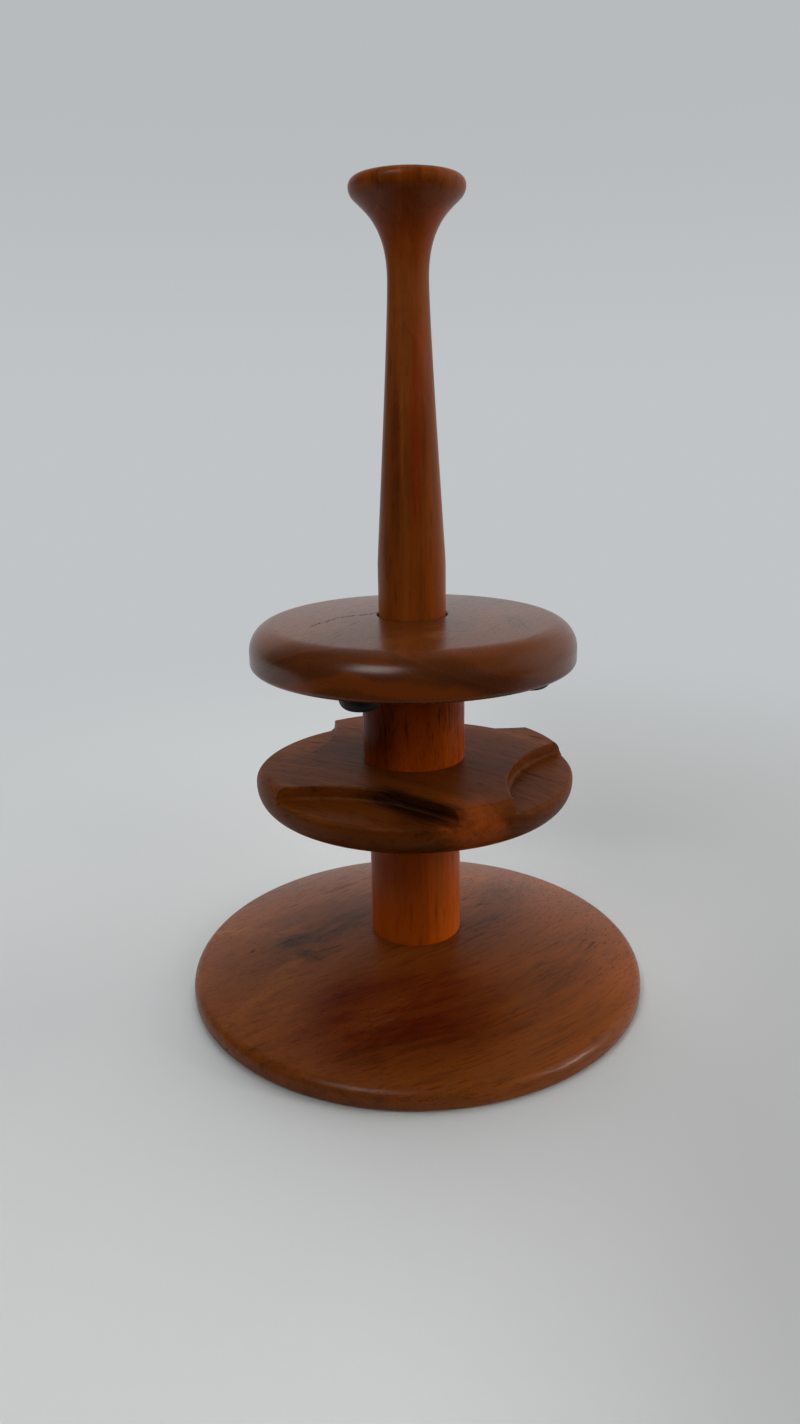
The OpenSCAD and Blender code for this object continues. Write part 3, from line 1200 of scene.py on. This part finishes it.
@dataclass
class Clamp:
    """The sliding clamp disc and its rubber stops.

    Attributes:
        form: Section of the disc.
        hole_round: Rounding of the edges of its hole.
        hole_r: Radius of the hole.
        stop_round: Rounding of the stops' lower edge.
        head_r: Radius of the recess for a screw's head.
        head_depth: Depth of that recess.
        head_edge: Bevel at its mouth.
        shank_r: Radius of the screws' shanks.
        stop_steps: Number of steps in a stop's full turn.
    """

    form: CrownedDisc = CrownedDisc(edge_rise=5.1 * MM, low_round=1.8 * MM, top_round=8.4 * MM,
                                    dome_radius=600.0 * MM)
    hole_round: float = 0.6 * MM
    hole_r: float = 10.9 * MM
    stop_round: float = 3.2 * MM
    head_r: float = 2.7 * MM
    head_depth: float = 2.0 * MM
    head_edge: float = 0.2 * MM
    shank_r: float = 1.4 * MM
    stop_steps: int = 64

    def build(self) -> None:
        """Turns and dresses the disc and the stops."""
        dress(self._disc(), CLAMP_TEAK.material(), "teak_clamp", "clamp", "clamp_disc")
        rubber = Rubber().material()
        for side in ("right", "back", "left", "front"):
            node = "rim_stop_" + side
            dress(self._stop(node), rubber, "rubber", "clamp", node)

    def _disc(self) -> bpy.types.Object:
        """Clamp disc, with the edges of its hole rounded.

        Returns:
            The disc.
        """
        low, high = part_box("clamp_disc")
        edge = self.hole_round
        mouth = self.hole_r + edge
        top = low.z + self.form.crown(high.x, self.hole_r)
        outline = Outline()
        outline.arc((mouth, low.z + edge), (edge, edge), 180.0, 270.0, 5)
        self.form.edge(outline, high.x, low.z, mouth)
        outline.arc((mouth, top - edge), (edge, edge), 90.0, 180.0, 5)
        return outline.spun("clamp_disc_wood", closed=True)

    def _stop(self, node: str) -> bpy.types.Object:
        """One rubber stop with the recess of its screw.

        Args:
            node: Node that it stands for.

        Returns:
            The stop.
        """
        low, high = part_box(node)
        middle = (low + high) / 2.0
        radius = (high.x - low.x) / 2.0
        edge = self.stop_round
        outline = Outline([(self.shank_r, high.z), (self.shank_r, low.z + self.head_depth)])
        outline.to((self.head_r, low.z + self.head_depth), (self.head_r, low.z + self.head_edge))
        outline.to((self.head_r + self.head_edge, low.z))
        outline.arc((radius - edge, low.z + edge), (edge, edge), -90.0, 0.0, 14)
        outline.to((radius, high.z))
        stop = outline.spun(node + "_rubber", closed=True, steps=self.stop_steps)
        stop.data.transform(Matrix.Translation((middle.x, middle.y, 0.0)))
        return stop


class Hardware:
    """The metal pieces and the felt, whose own solids show."""

    BRASS = ("spindle_sleeve", "thrust_washer", "stem_insert")
    STEEL = ("spindle", "carousel_nut", "retaining_washer", "retaining_nut", "stop_screws")

    def build(self) -> None:
        """Gives each node its finish."""
        self._finish(self.BRASS, Metal("dull_brass", "b08d4a", "7d6233", 0.3).material())
        self._finish(self.STEEL, Metal("plated_steel", "b4b6b8", "85868a", 0.32).material())
        self._finish(("base_felt",), Felt().material())

    def _finish(self, nodes: tuple[str, ...], material: bpy.types.Material) -> None:
        """Puts one material on some nodes.

        Args:
            nodes: Names of the nodes.
            material: Their material.
        """
        for node in nodes:
            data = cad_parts[node].data
            data.materials.clear()
            data.materials.append(material)
            LOG.info("%s: %s", node, material.name)


BASE_TEAK = Teak(
    name="teak_base", pale="864a15", warm="6f370d", dark="3f1a07", grain=Grain.LYING, heading=60.0,
    pith=(-10.0, 12.0, -70.0), ring_step=6.0, ring_depth=0.55, pore_depth=0.6,
    roughness=0.30, specular=0.18, bend=3.5,
    figure_and_painted_light=(
        # Broadly darker over the left of the base.
        Mark((-38.0, -18.0, 13.0), 60.0, (48.0, 24.0, 12.0), 0.3, 0.3),
        # Dark red over the front of the dome, before the column: the wood's own red, and painted shade where
        # the column's dark reflection falls.
        Mark((12.0, -43.0, 13.0), 48.0, (44.0, 31.0, 12.0), 0.8, 0.35, 0.4, "480800"),
        Mark((-36.0, -19.0, 14.0), 35.0, (9.0, 5.0, 9.0), 1.0, 0.7, 3.0, "120803"),
        Mark((-27.0, -27.0, 14.0), -25.0, (8.0, 3.5, 9.0), 0.9, 0.9, 3.0, "120803"),
        Mark((-33.0, -22.0, 14.0), 30.0, (15.0, 10.0, 9.0), 0.5, 0.6, 1.5),
        Mark((-23.0, -6.0, 15.0), 65.0, (21.0, 9.0, 9.0), 0.6, 0.7, 0.6),
        Mark((20.0, -55.0, 12.0), 36.0, (32.0, 11.0, 9.0), 0.55, 0.85, 0.3, "360e02"),
        Mark((6.0, -47.0, 12.0), 45.0, (15.0, 7.0, 9.0), 0.25, 1.0, 3.5, "9a5424"),
        Mark((20.0, 6.0, 14.0), 62.0, (30.0, 12.0, 9.0), 0.55, 1.0),
        Mark((19.0, 38.0, 12.0), 80.0, (32.0, 15.0, 9.0), 0.55, 0.6),
        Mark((50.0, 0.0, 12.0), 66.0, (42.0, 18.0, 9.0), 0.4, 0.8),
    ),
)
COLUMN_TEAK = Teak(
    name="teak_column", pale="c4620f", warm="b24c07", dark="7c2e05", grain=Grain.UPRIGHT, heading=20.0,
    pith=(60.0, 40.0, 0.0), ring_step=5.0, ring_depth=0.45, pore_depth=0.3,
    specular=0.1,
)
LEDGE_TEAK = Teak(
    name="teak_ledge", pale="844513", warm="69330a", dark="3a1a07", grain=Grain.LYING, heading=-14.0,
    pith=(0.0, -14.0, 10.0), ring_step=6.0, ring_depth=0.6, pore_depth=0.5,
    roughness=0.40, specular=0.07, bend=-3.0,
    figure_and_painted_light=(
        Mark((33.0, -38.0, 71.0), -30.0, (22.0, 12.0, 11.0), 0.6, 0.3, 0.0, "b4521c"),
        # Painted shade: dark red on the front seat's floor, at the foot of its wall.
        Mark((16.0, -44.0, 73.5), -20.0, (12.0, 6.0, 3.0), 0.6, 0.5, 0.6, "280a02"),
        Mark((12.0, -35.5, 76.0), -19.0, (28.0, 6.0, 6.0), 1.0, 0.25, 0.8),
        # Painted shadow of the clamp disc, on the ledge's top in front of the spacer.
        Mark((8.0, -24.0, 77.0), -14.0, (26.0, 9.0, 4.0), 0.35, 0.3, 0.0, "341405"),
    ),
)
SPACER_TEAK = Teak(
    name="teak_spacer", pale="b4540c", warm="a04204", dark="662203", grain=Grain.UPRIGHT, heading=10.0,
    pith=(50.0, -50.0, 0.0), ring_step=5.0, ring_depth=0.5, pore_depth=0.75,
    specular=0.08,
    figure_and_painted_light=(
        # Painted shade down the spacer's left side, between the discs.
        Mark((-9.0, -14.0, 96.0), 0.0, (12.0, 12.0, 30.0), 0.35, 0.2, 0.0, "3c0e02"),
        # Painted light: paler orange down the spacer's front.
        Mark((5.0, -18.0, 96.0), 0.0, (7.0, 6.0, 30.0), 0.7, 0.4, 0.0, "d85c0a"),
        # Painted sheen: greyer, less red streaks down the spacer's right side.
        Mark((18.0, -6.0, 96.0), 0.0, (5.0, 9.0, 30.0), 0.45, 0.6, 0.0, "74341c"),
    ),
)
STEM_TEAK = Teak(
    name="teak_stem", pale="a4561b", warm="8a420f", dark="542408", grain=Grain.UPRIGHT, heading=60.0,
    pith=(-46.0, -40.0, 0.0), ring_step=4.0, ring_depth=0.7, pore_depth=0.25,
    roughness=0.32, specular=0.15,
    figure_and_painted_light=(
        Mark((2.0, -8.0, 233.0), 0.0, (22.0, 20.0, 14.0), 0.45, 0.1, 0.0, "943806"),
        Mark((2.0, -6.0, 206.0), 0.0, (9.0, 9.0, 34.0), 0.3, 0.3, 0.0, "b8622a"),
        Mark((4.5, -6.5, 182.0), 0.0, (2.4, 8.0, 46.0), 0.55, 0.4, 0.0, "8e2808"),
        Mark((-1.5, -8.0, 170.0), 0.0, (2.4, 8.0, 40.0), 0.5, 0.5, 0.0, "4a220e"),
    ),
)
CLAMP_PITH = (9.2, -1.2, 52.0)
CLAMP_TEAK = Teak(
    name="teak_clamp", pale="7c4210", warm="63300b", dark="361a0a", grain=Grain.LYING, heading=80.0,
    pith=CLAMP_PITH, ring_step=7.0, ring_depth=0.6, pore_depth=0.2,
    fineness=0.25, roughness=0.25, specular=0.37, relief=0.05,
    figure_and_painted_light=(
        Arch(CLAMP_PITH, 82.2, 62.0, 3.0, 0.4, "98440c"),
        Arch(CLAMP_PITH, 82.2, 67.9, 3.4, 0.22, "4a281c"),
        Mark((33.0, 1.0, 123.9), -65.0, (15.0, 5.0, 4.0), 0.7, 1.0, 2.0, "2c0a02"),
        Mark((17.0, -24.0, 123.9), 60.0, (7.0, 5.0, 4.0), 0.3, 1.0, 3.0, "a87040"),
    ),
    checks=(
        Check((-15.3, -6.6, 123.9), 43.0, 7.5, 0.55),
        Check((-22.0, -17.5, 123.9), 74.0, 7.0, 0.4),
    ),
)


# ---- the studio ----


@dataclass
class Softbox:
    """Area light that points at a place on the stand.

    Attributes:
        name: Its name.
        azimuth: Direction that it stands in, from that place, in degrees, 0 on the -Y side and 90
            on the +X side.
        elevation: Its height above that place's horizon, in degrees.
        distance: Its distance from that place.
        size: Its breadth and height.
        power: Its power in watts.
        colour: Its colour.
        mirrored: Whether it shows in reflections, as a small lamp does and a lit wall doesn't.
        spread: How wide its light spreads, in degrees.
        target: The place, which is the stand's middle when it isn't given.
    """

    name: str
    azimuth: float
    elevation: float
    distance: float
    size: Point
    power: float
    colour: Tint
    mirrored: bool = False
    spread: float = 180.0
    target: Optional[Place] = None


@dataclass
class Studio:
    """Pale floor, soft light and the camera.

    Attributes:
        view_azimuth: Direction that the camera stands in, in degrees.
        dark_azimuth: Direction of the room's dark side.
        camera_reach: Its distance from the turning axis.
        camera_rise: Its height.
        pitch: How far it looks down, in degrees.
        swing: How far it looks past the axis, to the left, in degrees.
        roll: How far it leans, in degrees.
        lens: Its focal length in millimetres.
        sensor: Length of its frame in millimetres.
        nearest: Nearest distance that it shows.
        floor_radius: Radius of the floor.
        backdrop: Colour of what lies behind.
        floor_tone: Colour of the floor near the stand.
        floor_shade: Its colour on the right, where the window light is strong.
        floor_dim: Its colour for all but the camera where it lies in front of the stand.
        air: Colour of the soft light from all round.
        air_strength: Strength of that light.
        lamps: The lights.
    """

    view_azimuth: float = 20.4
    dark_azimuth: float = 0.0
    camera_reach: float = 302.75 * MM
    camera_rise: float = 183.33 * MM
    pitch: float = 16.716
    swing: float = 0.815
    roll: float = 0.961
    lens: float = 25.073
    sensor: float = 36.0
    nearest: float = 10.0 * MM
    floor_radius: float = 6.0
    backdrop: str = "c0c4c6"
    floor_tone: str = "c1c3c3"
    floor_shade: str = "adaeae"
    floor_dim: Colour = (0.03, 0.03, 0.03, 1.0)
    air: Colour = (0.95, 0.98, 1.0, 1.0)
    air_strength: float = 0.06
    lamps: tuple[Softbox, ...] = (
        Softbox("sky_behind", 200.0, 62.0, 2.4, (1.85, 1.85), 36.0, (0.97, 0.99, 1.0)),
        Softbox("window_right", 124.0, 25.0, 2.4, (2.0, 2.0), 30.0, (1.0, 0.98, 0.95)),
        Softbox("window_front_right", 70.0, 25.0, 2.4, (1.2, 1.2), 11.5, (1.0, 0.97, 0.93)),
        Softbox("wall_behind", 215.0, 22.0, 2.4, (2.0, 2.0), 18.8, (0.96, 0.98, 1.0)),
        Softbox("wall_left", 265.0, 35.0, 2.4, (1.6, 1.6), 6.5, (0.94, 0.97, 1.0)),
        Softbox("pane_low_right", 96.5, 19.0, 0.32, (0.34, 0.02), 0.018, (1.0, 0.98, 0.95), True, 12.0,
                metres((62.0, -42.0, 8.0))),
        Softbox("lamp_front", -11.0, 45.0, 1.2, (0.50, 0.48), 3.8, (1.0, 0.99, 0.97), True),
    )

    def build(self) -> None:
        """Builds all of it."""
        self._floor()
        self._air()
        for lamp in self.lamps:
            self._light(lamp)
        self._camera()
        bpy.context.scene.view_settings.view_transform = "Standard"

    def _target(self, lamp: Softbox) -> Vector:
        """Place that a lamp points at."""
        low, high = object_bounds()
        return (low + high) / 2.0 if lamp.target is None else Vector(lamp.target)

    def _place(self, lamp: Softbox) -> Vector:
        """Place that a lamp stands at.

        Args:
            lamp: The lamp.

        Returns:
            The place.
        """
        a, e = math.radians(lamp.azimuth), math.radians(lamp.elevation)
        way = Vector((math.sin(a) * math.cos(e), -math.cos(a) * math.cos(e), math.sin(e)))
        return self._target(lamp) + way * lamp.distance

    def _level(self, azimuth: float) -> Place:
        """Level unit vector at an azimuth."""
        side = math.radians(azimuth)
        return (math.sin(side), -math.cos(side), 0.0)

    def _floor(self) -> None:
        """Pale floor that runs into the backdrop's colour far away."""
        mesh = bmesh.new()
        bmesh.ops.create_circle(mesh, cap_ends=True, segments=96, radius=self.floor_radius)
        floor = finished(mesh, "floor")
        made = bpy.data.materials.new("pale_floor")
        wires = Wiring(made)
        far = wires.span(wires.vector("LENGTH", wires.place), 0.15, 0.5)
        right = wires.vector("DOT_PRODUCT", wires.place, self._level(self.view_azimuth + 90.0))
        tone = wires.blend(wires.span(right, -0.02, 0.1), srgb(self.floor_tone), srgb(self.floor_shade))
        near = wires.add("BsdfPrincipled", Base_Color=tone, Roughness=0.9, Specular_IOR_Level=0.1)
        ray = wires.add("LightPath").outputs
        strength = wires.span(ray["Is Diffuse Ray"], 0.0, 1.0, 1.0, 0.25)
        haze = wires.add("Emission", Color=srgb(self.backdrop), Strength=strength)
        mixed = wires.add("MixShader", in_0=far, in_1=near.outputs[0], in_2=haze.outputs[0])
        ahead = wires.vector("DOT_PRODUCT", wires.place, self._level(self.view_azimuth))
        unseen = wires.math("SUBTRACT", 1.0, ray["Is Camera Ray"])
        unlit = wires.times(wires.span(ahead, 0.06, 0.16), unseen)
        dim = wires.add("BsdfDiffuse", Color=self.floor_dim)
        mixed = wires.add("MixShader", in_0=unlit, in_1=mixed.outputs[0], in_2=dim.outputs[0])
        wires.add("OutputMaterial", Surface=mixed.outputs[0])
        floor.data.materials.append(made)
        floor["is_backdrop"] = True

    def _air(self) -> None:
        """Soft light from all round, and the backdrop's colour where rays reach it directly."""
        world = bpy.data.worlds.new("studio")
        bpy.context.scene.world = world
        wires = Wiring(world)
        ray = wires.add("LightPath").outputs
        seen = wires.math("MAXIMUM", ray["Is Camera Ray"], ray["Is Glossy Ray"])
        seen = wires.math("MAXIMUM", seen, ray["Is Transmission Ray"])
        ahead = wires.vector("DOT_PRODUCT", wires.way, self._level(self.dark_azimuth))
        up = wires.add("SeparateXYZ", Vector=wires.way).outputs["Z"]
        level = wires.times(wires.span(ahead, -0.45, 0.1, 1.0, 0.04), wires.span(up, 0.4, 0.78, 1.0, 0.3))
        camera = ray["Is Camera Ray"]
        level = wires.plus(wires.times(level, wires.math("SUBTRACT", 1.0, camera)),
                           wires.times(camera, wires.span(up, 0.0, 0.27, 1.0, 0.9)))
        soft = wires.add("Background", Color=self.air, Strength=self.air_strength)
        plain = wires.add("Background", Color=srgb(self.backdrop), Strength=level)
        mixed = wires.add("MixShader", in_0=seen, in_1=soft.outputs[0], in_2=plain.outputs[0])
        wires.add("OutputWorld", Surface=mixed.outputs[0])

    def _light(self, lamp: Softbox) -> None:
        """Hangs one lamp, pointed at the stand.

        Args:
            lamp: The lamp.
        """
        data = bpy.data.lights.new(lamp.name, "AREA")
        data.energy = lamp.power
        data.shape = "RECTANGLE"
        data.size, data.size_y = lamp.size
        data.color = lamp.colour
        data.spread = math.radians(lamp.spread)
        light = bpy.data.objects.new(lamp.name, data)
        bpy.context.scene.collection.objects.link(light)
        light.visible_camera = False
        light.visible_glossy = lamp.mirrored
        light.location = self._place(lamp)
        light.rotation_euler = (self._target(lamp) - light.location).to_track_quat("-Z", "Y").to_euler()

    def _camera(self) -> None:
        """Sets up the camera."""
        data = bpy.data.cameras.new("camera")
        data.sensor_width = self.sensor
        data.lens = self.lens
        data.clip_start = self.nearest
        camera = bpy.data.objects.new("camera", data)
        bpy.context.scene.collection.objects.link(camera)
        side = math.radians(self.view_azimuth)
        turn = Euler((0.0, 0.0, side + math.radians(self.swing))).to_matrix()
        tilt = Euler((math.radians(90.0 - self.pitch), 0.0, 0.0)).to_matrix()
        lean = Euler((0.0, 0.0, -math.radians(self.roll))).to_matrix()
        camera.matrix_world = (turn @ tilt @ lean).to_4x4()
        camera.location = (self.camera_reach * math.sin(side), -self.camera_reach * math.cos(side),
                           self.camera_rise)
        bpy.context.scene.camera = camera


def main() -> None:
    """Builds the stand and the studio."""
    logging.basicConfig(level=logging.INFO, format="%(name)s: %(message)s")
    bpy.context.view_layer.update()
    Foot().build()
    Carousel().build()
    Clamp().build()
    Hardware().build()
    Studio().build()


if __name__ == "__main__":
    main()
